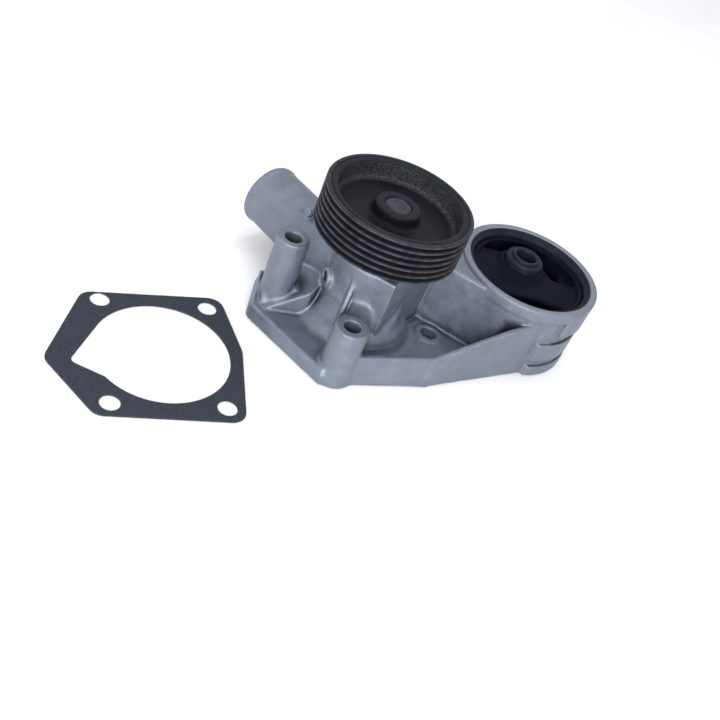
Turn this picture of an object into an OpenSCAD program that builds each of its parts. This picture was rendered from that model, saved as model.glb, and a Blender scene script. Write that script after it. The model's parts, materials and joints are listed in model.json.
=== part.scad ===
// Belt-driven coolant pump with an engine-mount eye cast on its housing.
// Millimetres. +Z runs along the shaft, out through the pulley.
// The origin is on the shaft axis in the plane of the mounting face.
// X and Y run along the sides of the mounting-bolt rectangle.

/* [Mounting flange] */
// Spacing of the mounting bolts along X
bolt_dx = 54; // [52:0.5:56]
// Spacing of the mounting bolts along Y
bolt_dy = 70; // [68:0.5:72]
// Diameter of the mounting-bolt holes
bolt_hole_d = 9; // [8.4:0.1:9.5]
// Thickness of the flange along its left edge
flange_h = 9; // [8:0.5:10]
// Height of the flange floor inside the front wall
floor_h = 6; // [5.5:0.5:7]
// Height of the front wall at the flange's lower corner
wall_h = 19; // [17:0.5:21]
// Thickness of the front wall
wall_t = 4; // [3.5:0.5:5]
// Height of the tall bolt post
post_h_tall = 48; // [46:0.5:50]
// Height of the middle bolt posts
post_h_mid = 34; // [32:0.5:36]
// Radius of the bolt posts
post_r = 8.5; // [8.25:0.25:9]

/* [Neck and inlet] */
// Outer radius of the bearing neck
neck_r = 21; // [20.5:0.25:22]
// Height of the flat-sided block around the neck
block_h = 50; // [48:0.5:52]
// Height of the neck's top face
neck_top = 63; // [62.5:0.25:63.5]
// Outer radius of the inlet pipe
pipe_r = 17.5; // [17:0.25:18]
// Bore radius of the inlet pipe
pipe_bore_r = 14; // [13:0.25:14.5]
// Height of the inlet pipe's axis
pipe_z = 26; // [25:0.5:27]
// Distance from the shaft axis to the inlet pipe's end
pipe_reach = 86; // [80:1:90]

/* [Engine-mount eye] */
// Distance from the shaft axis to the eye's axis along X
eye_x = 36.4; // [35:0.1:38]
// Distance from the shaft axis to the eye's axis along Y
eye_y = 90.6; // [89:0.1:93]
// Outer radius of the eye
eye_r = 40.8; // [40:0.2:41.5]
// Bore radius of the eye
eye_bore_r = 35; // [34.5:0.25:35.5]
// Height of the eye
eye_h = 46; // [45:0.5:47]
// Radius of the steel core in the rubber
core_r = 11; // [10.5:0.25:11.5]
// Radius of the hole through the steel core
core_hole_r = 6; // [5.25:0.25:6.5]

/* [Pulley] */
// Outer radius of the belt rim
pulley_r = 38.4; // [37.5:0.1:38.5]
// Height of the belt rim
pulley_h = 22.5; // [22:0.5:24]
// Height of the rim's top above the mounting face
pulley_top = 84.5; // [84:0.5:85]
// Number of belt grooves
groove_count = 6; // [4:1:6]
// Pitch of the belt grooves
groove_pitch = 3.56; // [3.5:0.01:3.56]

/* [Impeller and shaft] */
// Outer radius of the impeller
impeller_r = 24; // [23:0.5:24.5]
// Number of impeller vanes
vane_count = 7; // [5:1:9]
// Radius of the shaft in the bearing
shaft_r = 7.95; // [7.9:0.01:8]

/* [Hidden] */
$fn = 96;
eps = 0.01;                 // overlap that makes a cut clear a face
cast_grey = [0.60, 0.63, 0.67];
steel_grey = [0.70, 0.71, 0.73];
pulley_grey = [0.20, 0.20, 0.22];
rubber_black = [0.06, 0.06, 0.07];
paper_grey = [0.13, 0.15, 0.19];

// Bolt holes: tall post, middle post, low boss, hidden middle post
bolt_at = [[-bolt_dx / 2, -bolt_dy / 2], [bolt_dx / 2, -bolt_dy / 2],
    [bolt_dx / 2, bolt_dy / 2], [-bolt_dx / 2, bolt_dy / 2]];
bolt_r = bolt_hole_d / 2;
boss_h = floor_h + 0.6;     // low boss
boss_r = 7.6;

// Flange outline: corner A (by the tall post), corner B, lower corner C, far side
corner_a = [-25, -51];
corner_b = [30, -45];
corner_c = [54, 8];
flange_outline = [[-47, -28], [-43, -34], [-28, -50], corner_a, [29, -46.5], corner_b,
    [52, 4], corner_c, [56, 20], [36, 44], [-34, 44], [-42, 36]];

// Chamber for the impeller, the throat above it and the suction chamber
mouth_r = 33.5;
mouth_h = 3;
chamber_r = impeller_r + 1.5;
chamber_h = 12;
throat_r = 16;
suction_top = 30;
pipe_y = 1.5;               // the inlet pipe's axis lies this far beside the shaft
root_x = 50;                // the turned spigot ends here and the cast root begins
port_z = 21;                // port from the inlet bore to the suction chamber
port_r = 8.5;
weep_dir = -118;            // direction of the weep hole round the neck
weep_z = 30.5;
weep_r = 3;
weep_boss_r = 6.2;
flare_r = 31;               // the neck widens towards its foot
flare_h = 26;
ledge_h = 20;               // ledge that the tall post stands on
rib_t = 8.2;                // wedge between the tall post and the weep-hole boss

// Bearing, seal and shaft heights
race_z0 = 38;
race_z1 = neck_top + 0.5;
race_r = 15;
race_wall = 2.4;
stub_r = 6;                 // shaft below the bearing, where the seal and impeller sit
nose_r = 7;                 // shaft above the bearing, where the pulley sits
vane_top = chamber_h - 0.8;
seal_z0 = 17;
shaft_z0 = 2;
shaft_z1 = pulley_top - 4.2;
fit_gap = 0.05;             // running clearance between a shaft and its hole

// Bearing balls
ball_r = 2.2;
ball_pitch_r = 10.2;
ball_count = 10;
ball_z_front = 57;
ball_z_rear = 45;
race_groove_r = ball_r + 0.35;
sleeve_r = core_hole_r + 2.2;

// Eye bush: the core sits off centre, as an unloaded rubber mount does
core_at = [eye_x - 8, eye_y + 4];
core_top = eye_h + 1.5;
sleeve_wall = 1.8;
rubber_r = eye_bore_r - sleeve_wall;
eye_touch = [71.5, 83];     // where the front wall meets the eye
eye_wall_h = 41;            // height of the front wall there
deck_dir = 22.6;            // direction of the arm's inner wall
deck_from = [9, 37.3];      // where the arm's inner wall leaves the neck block
deck_len = 46;

// Pulley heights
disc_top = pulley_top - 10.5;
disc_t = 9.5;
rim_in_r = 32;
hub_r = 12;
hub_top = pulley_top - 4;
groove_first = 2.6;         // rim top to the first groove's centre
groove_deep = 2.6;

// Gasket, lying beside the pump with the same outline as the mounting face
gasket_at = [-19, -108];
gasket_turn = -117;
gasket_t = 1;

module ring(r_out, r_in, z0, z1) {
    translate([0, 0, z0])
        difference() {
            cylinder(r = r_out, h = z1 - z0);
            translate([0, 0, -eps]) cylinder(r = r_in, h = z1 - z0 + 2 * eps);
        }
}

module post(at, r, h) {
    translate([at[0], at[1], 0]) cylinder(r = r, h = h);
}

// A vertical wall from a to b, t thick on its left side, with a top that runs from h_a to h_b
module wall(a, b, t, h_a, h_b) {
    run = norm([b[0] - a[0], b[1] - a[1]]);
    turn = atan2(b[1] - a[1], b[0] - a[0]);
    translate([a[0], a[1], 0])
        rotate([0, 0, turn])
            translate([0, t, 0])
                rotate([90, 0, 0])
                    linear_extrude(height = t)
                        polygon([[0, 0], [run, 0], [run, h_b], [0, h_a]]);
}

module flange_solid() {
    linear_extrude(height = floor_h) polygon(flange_outline);
    // Floor of the pocket between the front wall and the arm
    linear_extrude(height = floor_h)
        polygon([corner_c, [67, 66], [60, 66], [20, 42], [30, 20]]);
    // Thicker land along the left edge, from the middle post round to the inlet side
    linear_extrude(height = flange_h)
        polygon([[-47, -28], [-43, -34], [-28, -50], corner_a, [29, -46.5], [26, -30], [-8, -26],
            [-30, -10], [-44, -5]]);
    linear_extrude(height = flange_h)
        polygon([[-44, -5], [-30, -10], [-22, 20], [-10, 44], [-34, 44], [-42, 36]]);
}

module posts_solid() {
    post(bolt_at[0], post_r, post_h_tall);
    translate([bolt_at[0][0], bolt_at[0][1], 0]) cube([post_r - 0.5, post_r - 0.5, post_h_tall]);
    post(bolt_at[1], post_r, post_h_mid);
    post(bolt_at[2], boss_r, boss_h);
    post(bolt_at[3], post_r, post_h_mid);
    // Skirt that widens the middle post towards the flange
    translate([bolt_at[1][0] + 0.8, bolt_at[1][1] - 1, 0])
        cylinder(r1 = post_r + 2, r2 = post_r - 0.5, h = post_h_mid - 4);
    // Pedestal under the tall post
    linear_extrude(height = ledge_h)
        polygon([[-41, -30], [-36.5, -35.5], [-26.5, -46.5], [-19.6, -47.5], [-16, -34],
            [-20, -20], [-40, -20]]);
}

module walls_solid() {
    wall([33.5, -37.5], corner_c, wall_t, wall_h, wall_h);
    wall(corner_c, eye_touch, wall_t, wall_h, eye_wall_h);
}

module neck_solid() {
    cylinder(r = neck_r, h = block_h);
    cylinder(r1 = flare_r, r2 = neck_r - 0.2, h = flare_h);
    translate([0, 0, block_h - eps]) cylinder(r = neck_r - 1.5, h = neck_top - block_h + eps);
    // Flat panel towards the middle post, and the web back to the arm
    linear_extrude(height = block_h)
        polygon([[2.9, -20.5], [24.5, -10], [deck_from[0] + 3, deck_from[1] + 2], [-8, 30], [-18, 8]]);
    // Web between the panel and the middle post
    translate([13.8, -15.3, 0])
        rotate([0, 0, -56])
            translate([-2, -6.8, 0])
                cube([18, 13.6, 30]);
    // Weep-hole boss
    rotate([0, 0, weep_dir])
        translate([0, 0, weep_z])
            rotate([0, 90, 0])
                cylinder(r = weep_boss_r, h = neck_r + 3);
    // Solid wedge from the flange's corner A up to the weep-hole boss
    rib_top = weep_z - 2;
    rotate([0, 0, weep_dir])
        translate([0, 1.2, 0])
            rotate([90, 0, 0])
                linear_extrude(height = rib_t)
                    polygon([[10, 4], [54.5, 4], [54.5, flange_h], [neck_r + 2.5, rib_top], [10, rib_top]]);
}

module inlet_solid() {
    translate([-pipe_reach, pipe_y, pipe_z])
        rotate([0, 90, 0])
            cylinder(r = pipe_r, h = pipe_reach - root_x);
    // Cast root, a little larger than the spigot
    translate([-root_x, pipe_y, pipe_z])
        rotate([0, 90, 0])
            cylinder(r = pipe_r + 0.5, h = root_x - 4);
    // Gusset that carries the pipe down to the flange
    linear_extrude(height = pipe_z)
        polygon([[-49, -8], [-45, -28], [-30, -28], [-18, -10], [-18, 14], [-46, 14]]);
    // Small boss on the pipe's root
    translate([-46, -8, pipe_z + pipe_r - 1])
        rotate([-90, 0, 0])
            cylinder(r = 2.6, h = 20);
}

// Cast pad round the +X side of the eye, from height z up by h
module eye_pad(z, h, r) {
    translate([0, 0, z])
        intersection() {
            cylinder(r = r, h = h);
            translate([0, -17.5, -1]) cube([r + 5, 60, h + 2]);
        }
}

module arm_solid() {
    far = [deck_from[0] + deck_len * cos(deck_dir), deck_from[1] + deck_len * sin(deck_dir)];
    linear_extrude(height = eye_h - 2)
        polygon([deck_from, far, [eye_x + 20, eye_y - 24], [eye_x, eye_y], [0, 100],
            [-14, 62], [-16, 20], [0, 10]]);
    translate([eye_x, eye_y, 0]) {
        translate([0, 0, eye_h - 9]) cylinder(r = eye_r, h = 9);
        cylinder(r = eye_r - 3.4, h = eye_h - 4);
        eye_pad(0, 7.5, eye_r - 1.6);
        eye_pad(10.5, 13, eye_r - 1.8);
        eye_pad(28, 12, eye_r - 1.6);
    }
}

module housing_cuts() {
    // Bolt holes
    for (at = bolt_at)
        translate([at[0], at[1], -1]) cylinder(r = bolt_r, h = post_h_tall + 20);
    // Mouth with its pocket, impeller chamber, and the suction chamber above it.
    // Each cut starts a little deeper below the face than the one before.
    translate([0, 0, -1]) cylinder(r = mouth_r, h = mouth_h + 1);
    translate([0, 0, -2])
        linear_extrude(height = mouth_h + 1.8)
            polygon([[26, -16], [44, 9], [8, 31], [0, 0]]);
    translate([0, 0, -3]) cylinder(r = chamber_r, h = chamber_h + 3);
    translate([0, 0, -4]) cylinder(r = throat_r, h = suction_top + 4);
    // Seal and bearing bore, open at the neck's top
    translate([0, 0, suction_top - 5]) cylinder(r = race_r, h = neck_top);
    // Inlet bore, and the narrower port through the neck's wall
    translate([-pipe_reach - 1, pipe_y, pipe_z])
        rotate([0, 90, 0])
            cylinder(r = pipe_bore_r, h = pipe_reach - 26);
    translate([-pipe_reach + 20, pipe_y, port_z])
        rotate([0, 90, 0])
            cylinder(r = port_r, h = pipe_reach - 32);
    // Weep hole
    rotate([0, 0, weep_dir])
        translate([race_r - 4, 0, weep_z + 1.4])
            rotate([0, 90 + 6, 0])
                cylinder(r = weep_r, h = 18);
    // Eye bore, with a chamfer at the top
    translate([eye_x, eye_y, -1]) {
        cylinder(r = eye_bore_r, h = eye_h + 2);
        translate([0, 0, eye_h + 1 - 1.5])
            rotate_extrude()
                polygon([[0, 0], [eye_bore_r, 0], [eye_bore_r + 2, 2], [0, 2]]);
    }
    // Clearance for the socket round the middle post
    translate([bolt_at[1][0], bolt_at[1][1], post_h_mid]) cylinder(r = 11, h = 40);
    // Lightening pockets under the arm, with a rib between them
    for (pocket = [0, 1])
        translate([deck_from[0] + 3 + pocket * 20, deck_from[1] + 9 + pocket * 5, -1])
            rotate([0, 0, deck_dir])
                cube([15, 10, eye_h - 9]);
}

module pump_housing() {
    color(cast_grey)
        difference() {
            union() {
                flange_solid();
                posts_solid();
                walls_solid();
                neck_solid();
                inlet_solid();
                arm_solid();
            }
            housing_cuts();
        }
}

module bearing_outer_race() {
    color(steel_grey)
        difference() {
            ring(race_r, race_r - race_wall, race_z0, race_z1);
            for (z = [ball_z_front, ball_z_rear])
                translate([0, 0, z])
                    rotate_extrude()
                        translate([ball_pitch_r, 0]) circle(r = race_groove_r);
        }
}

module bearing_seal(z0) {
    color(rubber_black) ring(race_r - race_wall, shaft_r + fit_gap, z0, z0 + 1.6);
}

module bearing_seal_front() {
    bearing_seal(race_z1 - 2);
}

module bearing_seal_rear() {
    bearing_seal(race_z0 + 0.4);
}

module balls(z) {
    color(steel_grey)
        for (i = [0 : ball_count - 1])
            rotate([0, 0, i * 360 / ball_count])
                translate([ball_pitch_r, 0, z])
                    sphere(r = ball_r, $fn = 32);
}

module cage(z) {
    color("darkkhaki")
        difference() {
            ring(ball_pitch_r + 0.8, ball_pitch_r - 0.8, z - 3, z + 3);
            for (i = [0 : ball_count - 1])
                rotate([0, 0, i * 360 / ball_count])
                    translate([ball_pitch_r - 3, 0, z])
                        rotate([0, 90, 0])
                            cylinder(r = ball_r + 0.15, h = 6, $fn = 48);
        }
}

module balls_front() {
    balls(ball_z_front);
}

module cage_front() {
    cage(ball_z_front);
}

module balls_rear() {
    balls(ball_z_rear);
}

module cage_rear() {
    cage(ball_z_rear);
}

module shaft() {
    color(steel_grey)
        difference() {
            union() {
                translate([0, 0, race_z0 - 1]) cylinder(r = shaft_r, h = race_z1 - race_z0 + 2);
                translate([0, 0, shaft_z0]) cylinder(r = stub_r, h = race_z0 - shaft_z0);
                translate([0, 0, race_z1]) cylinder(r = nose_r, h = shaft_z1 - race_z1);
            }
            for (z = [ball_z_front, ball_z_rear])
                translate([0, 0, z])
                    rotate_extrude()
                        translate([ball_pitch_r, 0]) circle(r = race_groove_r);
        }
}

module pulley() {
    z0 = pulley_top - pulley_h;
    color(pulley_grey)
        difference() {
            union() {
                ring(pulley_r, rim_in_r, z0, pulley_top);
                translate([0, 0, disc_top - disc_t]) cylinder(r = rim_in_r + 1, h = disc_t);
                translate([0, 0, disc_top - disc_t]) cylinder(r = hub_r, h = hub_top - disc_top + disc_t);
                translate([0, 0, disc_top]) cylinder(r1 = hub_r + 3, r2 = hub_r, h = 4);
            }
            translate([0, 0, z0 - 1]) cylinder(r = nose_r, h = pulley_h + 2);
            for (i = [0 : groove_count - 1])
                translate([0, 0, pulley_top - groove_first - i * groove_pitch])
                    rotate_extrude()
                        polygon([[pulley_r + eps, -1.45], [pulley_r - groove_deep, -0.45],
                            [pulley_r - groove_deep, 0.45], [pulley_r + eps, 1.45]]);
        }
}

// One backward-curved vane: an arc of a thin ring, kept only between the hub and the rim
module vane() {
    intersection() {
        translate([12, -16, 2])
            difference() {
                cylinder(r = 18.1, h = vane_top - 2);
                translate([0, 0, -1]) cylinder(r = 15.9, h = vane_top);
            }
        translate([8, -9, 2]) cube([impeller_r, 14, vane_top - 2]);
        cylinder(r = impeller_r - 0.4, h = vane_top);
    }
}

module impeller() {
    color([0.32, 0.30, 0.29])
        difference() {
            union() {
                translate([0, 0, 1.2]) cylinder(r = impeller_r, h = 2.4);
                translate([0, 0, 1.2]) cylinder(r = 9.5, h = seal_z0 - 2.2);
                for (i = [0 : vane_count - 1])
                    rotate([0, 0, i * 360 / vane_count]) vane();
            }
            cylinder(r = stub_r, h = 30);
        }
}

module seal_cup() {
    color([0.75, 0.68, 0.45])
        union() {
            ring(race_r, race_r - 0.8, suction_top, suction_top + 5.5);
            ring(race_r - 0.7, 7.4, suction_top + 4.7, suction_top + 5.5);
        }
}

module seal_bellows() {
    color(rubber_black)
        rotate_extrude()
            polygon([[7.4, 34], [7.4, 34.7], [12.6, 34.7], [12.6, 31], [9.6, 28.5], [9.6, 25.5],
                [12.3, 25.5], [12.3, 24.7], [8.8, 24.7], [8.8, 29], [11.8, 31.6], [11.8, 34]]);
}

module seal_spring() {
    color(steel_grey)
        rotate_extrude()
            for (z = [26.6 : 1.9 : 30.6])
                translate([13.3, z]) circle(r = 0.6, $fn = 24);
}

module seal_carbon_ring() {
    color([0.15, 0.15, 0.16]) ring(12, 7.6, 21.6, 24.7);
}

module seal_ceramic_ring() {
    color([0.9, 0.9, 0.88]) ring(12.4, 7.8, 18.6, 21.6 - fit_gap);
}

module seal_seat_boot() {
    color(rubber_black)
        union() {
            ring(13.4, 12.4, seal_z0 + 0.6, 21.2);
            ring(13.4, stub_r, seal_z0, 18.6);
            ring(7.8, stub_r, 18.5, 21.2);
        }
}

module slinger() {
    color(steel_grey)
        union() {
            ring(11.5, stub_r, 36.2, 36.9);
            ring(7.2, stub_r, 35.9, 37);
        }
}

module eye_frame() {
    translate([eye_x, eye_y, 0]) children();
}

module mount_outer_sleeve() {
    color([0.10, 0.10, 0.12]) eye_frame() ring(eye_bore_r, rubber_r, 3, eye_h - 2.5);
}

// Rubber: a bonded lining and two legs that carry the core, with open voids above and below
module mount_rubber() {
    core_off = core_at - [eye_x, eye_y];
    color(rubber_black)
        difference() {
            eye_frame()
                union() {
                    ring(rubber_r, rubber_r - 3, 4.5, eye_h - 4);
                    intersection() {
                        translate([0, 0, 5.5]) cylinder(r = rubber_r - 1, h = eye_h - 12);
                        union() {
                            translate([core_off[0], core_off[1], 0])
                                cylinder(r = core_r + 4.5, h = eye_h);
                            rotate([0, 0, deck_dir])
                                translate([-40, -11, 0]) cube([80, 24, eye_h]);
                        }
                    }
                }
            translate([core_at[0], core_at[1], -1])
                cylinder(r = core_r + fit_gap, h = eye_h + 2);
        }
}

module mount_core() {
    color([0.14, 0.14, 0.16])
        translate([core_at[0], core_at[1], 0]) ring(core_r, sleeve_r, 3, core_top - 1.5);
}

module mount_inner_sleeve() {
    color(steel_grey)
        translate([core_at[0], core_at[1], 0]) ring(sleeve_r, core_hole_r, 1.5, core_top);
}

// Paper gasket: its outline and opening follow the mounting face
module gasket() {
    color(paper_grey)
        translate([gasket_at[0], gasket_at[1], 0])
            rotate([0, 0, gasket_turn])
                difference() {
                    linear_extrude(height = gasket_t)
                        polygon([[-35, -43.9], [35.5, -40], [54.2, 6], [54.2, 10], [34, 43],
                            [-35, 43.9], [-40.8, -4.3]]);
                    translate([0, 0, -1]) cylinder(r = mouth_r, h = 3);
                    translate([0, 0, -1])
                        linear_extrude(height = 3)
                            polygon([[29, -17], [43.5, 8], [43.5, 11], [0, 33], [0, 0]]);
                    for (at = bolt_at)
                        translate([at[0], at[1], -1]) cylinder(r = bolt_r + 0.25, h = 3);
                }
}

pump_housing();
bearing_outer_race();
bearing_seal_front();
bearing_seal_rear();
balls_front();
cage_front();
balls_rear();
cage_rear();
shaft();
pulley();
impeller();
seal_cup();
seal_bellows();
seal_spring();
seal_carbon_ring();
seal_ceramic_ring();
seal_seat_boot();
slinger();
mount_outer_sleeve();
mount_rubber();
mount_core();
mount_inner_sleeve();
gasket();
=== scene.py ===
"""Looks for the water pump: cast housing, belt pulley, rubber engine mount and paper gasket.

Shapes are worked out in millimetres in the frame's own axes, and become metres in the meshes.
The housing and the mount's rubber are signed-distance fields turned into meshes, so that every
cast corner has its fillet. The turned pieces are lathed profiles.
"""
import json
import math

import bmesh
import bpy
import numpy as np
import openvdb
from mathutils import Matrix, Vector


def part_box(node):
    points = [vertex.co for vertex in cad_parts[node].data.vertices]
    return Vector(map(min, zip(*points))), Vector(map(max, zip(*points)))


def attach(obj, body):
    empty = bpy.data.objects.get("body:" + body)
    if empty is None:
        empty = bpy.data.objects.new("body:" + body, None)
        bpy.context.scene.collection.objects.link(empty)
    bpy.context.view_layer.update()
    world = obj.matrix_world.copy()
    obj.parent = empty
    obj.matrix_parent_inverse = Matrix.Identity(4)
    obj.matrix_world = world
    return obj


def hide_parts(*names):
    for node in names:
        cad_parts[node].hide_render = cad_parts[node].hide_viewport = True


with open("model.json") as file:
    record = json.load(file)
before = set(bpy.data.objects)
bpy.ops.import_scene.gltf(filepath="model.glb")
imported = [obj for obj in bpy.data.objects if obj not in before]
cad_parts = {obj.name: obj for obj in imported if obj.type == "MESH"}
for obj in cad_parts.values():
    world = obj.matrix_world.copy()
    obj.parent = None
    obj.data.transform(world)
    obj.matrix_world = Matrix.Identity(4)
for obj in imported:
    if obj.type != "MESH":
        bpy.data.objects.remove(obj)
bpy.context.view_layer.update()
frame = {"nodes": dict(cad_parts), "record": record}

MM = 0.001


def corners_mm(node):
    """A CAD node's lowest and highest corners, in millimetres."""
    low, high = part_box(node)
    return np.array(low) / MM, np.array(high) / MM


MOUNTS = {mount["name"]: mount for mount in frame["record"]["mounts"]}


# ---------------------------------------------------------------- sizes from the frame

BOLTS = MOUNTS["mounting_bolts"]["dims"]
BOLT_X = BOLTS["spacing_x_mm"] / 2
BOLT_Y = BOLTS["spacing_y_mm"] / 2
BOLT_R = BOLTS["hole_r_mm"]
TALL_AT = (-BOLT_X, -BOLT_Y)
MIDDLE_AT = (BOLT_X, -BOLT_Y)
LOW_AT = (BOLT_X, BOLT_Y)
HIDDEN_AT = (-BOLT_X, BOLT_Y)

HOUSING_LOW, HOUSING_HIGH = corners_mm("pump_housing")
NECK_TOP = HOUSING_HIGH[2]
PIPE_END = HOUSING_LOW[0]
PIPE_R = MOUNTS["hose_spigot"]["dims"]["r_mm"]
PIPE_Y = MOUNTS["hose_spigot"]["pos_m"][1] / MM
PIPE_Z = MOUNTS["hose_spigot"]["pos_m"][2] / MM
PIPE_BORE_R = PIPE_R - 3.5

SLEEVE_LOW, SLEEVE_HIGH = corners_mm("mount_outer_sleeve")
EYE_X, EYE_Y = (SLEEVE_LOW[:2] + SLEEVE_HIGH[:2]) / 2
EYE_BORE_R = (SLEEVE_HIGH[0] - SLEEVE_LOW[0]) / 2
EYE_R = HOUSING_HIGH[1] - EYE_Y
EYE_H = SLEEVE_HIGH[2] + 2.5
CORE_LOW, CORE_HIGH = corners_mm("mount_core")
CORE_X, CORE_Y = (CORE_LOW[:2] + CORE_HIGH[:2]) / 2
CORE_R = (CORE_HIGH[0] - CORE_LOW[0]) / 2

RACE_R = corners_mm("bearing_outer_race")[1][0]
PULLEY_LOW, PULLEY_HIGH = corners_mm("pulley")
PULLEY_R = PULLEY_HIGH[0]
SHAFT_TOP = corners_mm("shaft")[1][2]

# ---------------------------------------------------------------- sizes of the casting

STEP = 0.7                  # edge of one cell of the field
FAR = 9.0                   # distance given to cells that no shape reaches
EDGE_DEPTH = 1.1            # how far below the surface the edge value looks for open air
FLOOR_H = 6.0               # flange floor inside the front wall
FLANGE_H = 9.0              # flange along its left edge
WALL_H = 19.0               # front wall at corner C
WALL_T = 4.0
EYE_WALL_H = 41.0           # front wall where it meets the eye
TALL_H = 48.0               # tops of the bolt posts
MIDDLE_H = 34.0
LOW_H = FLOOR_H + 0.6
POST_R = 8.5
NECK_R = 21.0
BLOCK_H = 50.0              # flat-sided block round the neck
WEEP_DIR = math.radians(-118)
WEEP_Z = 31.0
LEDGE_H = 20.0              # ledge that the tall post stands on
DECK_DIR = math.radians(22.6)    # direction of the arm's inner wall
CORNER_A = (-25, -51)       # the flange's corners, A, B and C, along its front
CORNER_B = (30, -45)
CORNER_C = (54, 8)
EYE_TOUCH = (71.5, 83)      # where the front wall meets the eye
DECK_FROM = (9, 37.3)       # where the arm's inner wall leaves the neck block
DECK_LEN = 46.0
CHAMBER_R = 25.5            # impeller's chamber
MOUTH_R = 33.5              # shallow mouth in the mounting face
MOUTH_DEEP = 3.0
THROAT_R = 16.0             # suction chamber over the impeller
SUCTION_TOP = 30.0
PORT_Z = 21.0               # height of the port from the pipe to the suction chamber
PORT_R = 8.5
FLARE_R = NECK_R + 11       # cone that spreads from the neck to the floor
FLARE_H = 26.0
WEEP_BOSS_R = 6.4
WEEP_R = 3.0
PIPE_BOSS_X = -47.0         # small cross boss on top of the pipe
WEB_FROM = (13.8, -15.3)    # where the middle web leaves the neck
FIN_FROM = (5.2, -20.0)
WEB_DIR = math.radians(-56)
WEB_R = 6.6
WEB_BACK_Z = 25.2
WEB_FRONT_Z = 21.5

# Raised pads round the eye's barrel: foot, height, radius, and where each starts along Y
EYE_PADS = (
    (0, 7.5, EYE_R - 1.4, -17.5),
    (10.5, 13, EYE_R - 1.6, -17.5),
    (28, 16, EYE_R - 0.6, -8),
)

GASKET_AT = (-19, -108)     # where the loose gasket's own middle lies
GASKET_TURN = math.radians(-117)


def along(origin, direction, run, side=0.0):
    """The point that is run ahead and side to the left of origin, walking in a direction."""
    c, s = math.cos(direction), math.sin(direction)
    return (origin[0] + run * c - side * s, origin[1] + run * s + side * c)


# ---------------------------------------------------------------- signed-distance shapes

def soft_min(a, b, k):
    """Smaller of two distances, with a fillet about k wide where they meet."""
    if k <= 0:
        return np.minimum(a, b)
    h = np.maximum(k - np.abs(a - b), 0) / k
    return np.minimum(a, b) - h * h * k / 4


def soft_max(a, b, k):
    return -soft_min(-a, -b, k)


class Shape:
    """A box that holds the shape, and the function that gives the distance to its surface."""

    def __init__(self, low, high, distance):
        self.low = np.array(low, float)
        self.high = np.array(high, float)
        self.distance = distance


def rod(a, b, r, r_end=None, soft=0.5):
    """A round bar from point a to point b, which may taper to r_end."""
    a, b = np.array(a, float), np.array(b, float)
    length = np.linalg.norm(b - a)
    u = (b - a) / length
    r_end = r if r_end is None else r_end

    def distance(x, y, z):
        px, py, pz = x - a[0], y - a[1], z - a[2]
        t = px * u[0] + py * u[1] + pz * u[2]
        radial = np.sqrt(np.maximum(px * px + py * py + pz * pz - t * t, 0))
        side = radial - (r + (r_end - r) * np.clip(t / length, 0, 1))
        return soft_max(side, np.maximum(-t, t - length), soft)

    wide = max(r, r_end)
    return Shape(np.minimum(a, b) - wide, np.maximum(a, b) + wide, distance)


def post(at, r, z0, z1, r_top=None, soft=0.5):
    return rod((at[0], at[1], z0), (at[0], at[1], z1), r, r_top, soft)


def polygon_distance(points, x, y):
    """Signed distance to a polygon, negative inside."""
    best = np.full(np.broadcast(x, y).shape, 1e9)
    inside = np.zeros(best.shape, bool)
    for (ax, ay), (bx, by) in zip(points, points[1:] + points[:1]):
        ex, ey = bx - ax, by - ay
        wx, wy = x - ax, y - ay
        t = np.clip((wx * ex + wy * ey) / (ex * ex + ey * ey), 0, 1)
        best = np.minimum(best, (wx - ex * t) ** 2 + (wy - ey * t) ** 2)
        crossing = (ay <= y) != (by <= y)
        if ay != by:
            inside ^= crossing & (x < ax + wy * ex / ey)
    return np.where(inside, -1, 1) * np.sqrt(best)


def prism(points, z0, z1, soft=1.0, corner=0.0, draft=0.0):
    """An upright prism. z1 is a height or a function of x and y. Draft leans the walls in."""
    points = [tuple(map(float, p)) for p in points]
    flat = np.array(points)
    top = z1 if callable(z1) else (lambda x, y: z1)
    highest = max(top(px, py) for px, py in points)

    def distance(x, y, z):
        side = polygon_distance(points, x, y) - corner + draft * (z - z0)
        return soft_max(side, np.maximum(z0 - z, z - top(x, y)), soft)

    grow = corner + 1
    low = (*(flat.min(0) - grow), z0)
    return Shape(low, (*(flat.max(0) + grow), highest), distance)


def wall(a, b, thick, top_a, top_b, z0=0.0, soft=1.6):
    """A wall that stands on the left of the line a-b, with a top that runs from top_a to top_b."""
    a, b = np.array(a, float), np.array(b, float)
    run = np.linalg.norm(b - a)
    u = (b - a) / run
    left = np.array([-u[1], u[0]]) * thick

    def top(x, y):
        t = ((x - a[0]) * u[0] + (y - a[1]) * u[1]) / run
        return top_a + (top_b - top_a) * t

    return prism([a, b, b + left, a + left], z0, top, soft)


def together(a, b):
    """Both shapes as one."""
    return Shape(np.minimum(a.low, b.low), np.maximum(a.high, b.high),
                 lambda x, y, z: np.minimum(a.distance(x, y, z), b.distance(x, y, z)))


def overlap(a, b, k):
    """What lies in both shapes, with its edges eased by about k."""
    return Shape(np.maximum(a.low, b.low), np.minimum(a.high, b.high),
                 lambda x, y, z: soft_max(a.distance(x, y, z), b.distance(x, y, z), k))


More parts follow.
